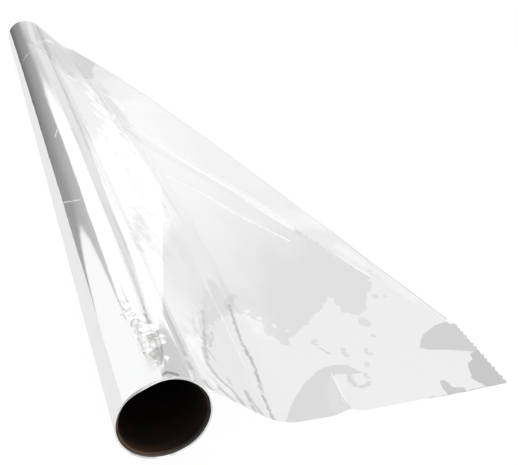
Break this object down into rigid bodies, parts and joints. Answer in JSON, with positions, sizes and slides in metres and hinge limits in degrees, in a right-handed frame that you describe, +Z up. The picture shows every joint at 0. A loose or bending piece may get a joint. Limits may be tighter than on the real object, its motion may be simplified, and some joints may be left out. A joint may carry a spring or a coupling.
{
  "type": "cellophane roll",
  "caption": "Part-used roll of clear cellophane on a card tube, lying on a table with its loose end pulled out, cut with a toothed edge and folded back along one side.",
  "frame": {"origin": "centre of the core's bore at the roll's near end", "axes": "+Y along the roll from its near end to its far end, +Z up from the table, +X across the table towards the loose end"},
  "size_m": [0.1825, 0.7102, 0.0408],
  "materials": {
    "card": "matt, spiral wound",
    "clear_film": "clear, mirror gloss"
  },
  "bodies": {
    "root": {"core": "card", "film": "clear_film"}
  },
  "joints": []
}
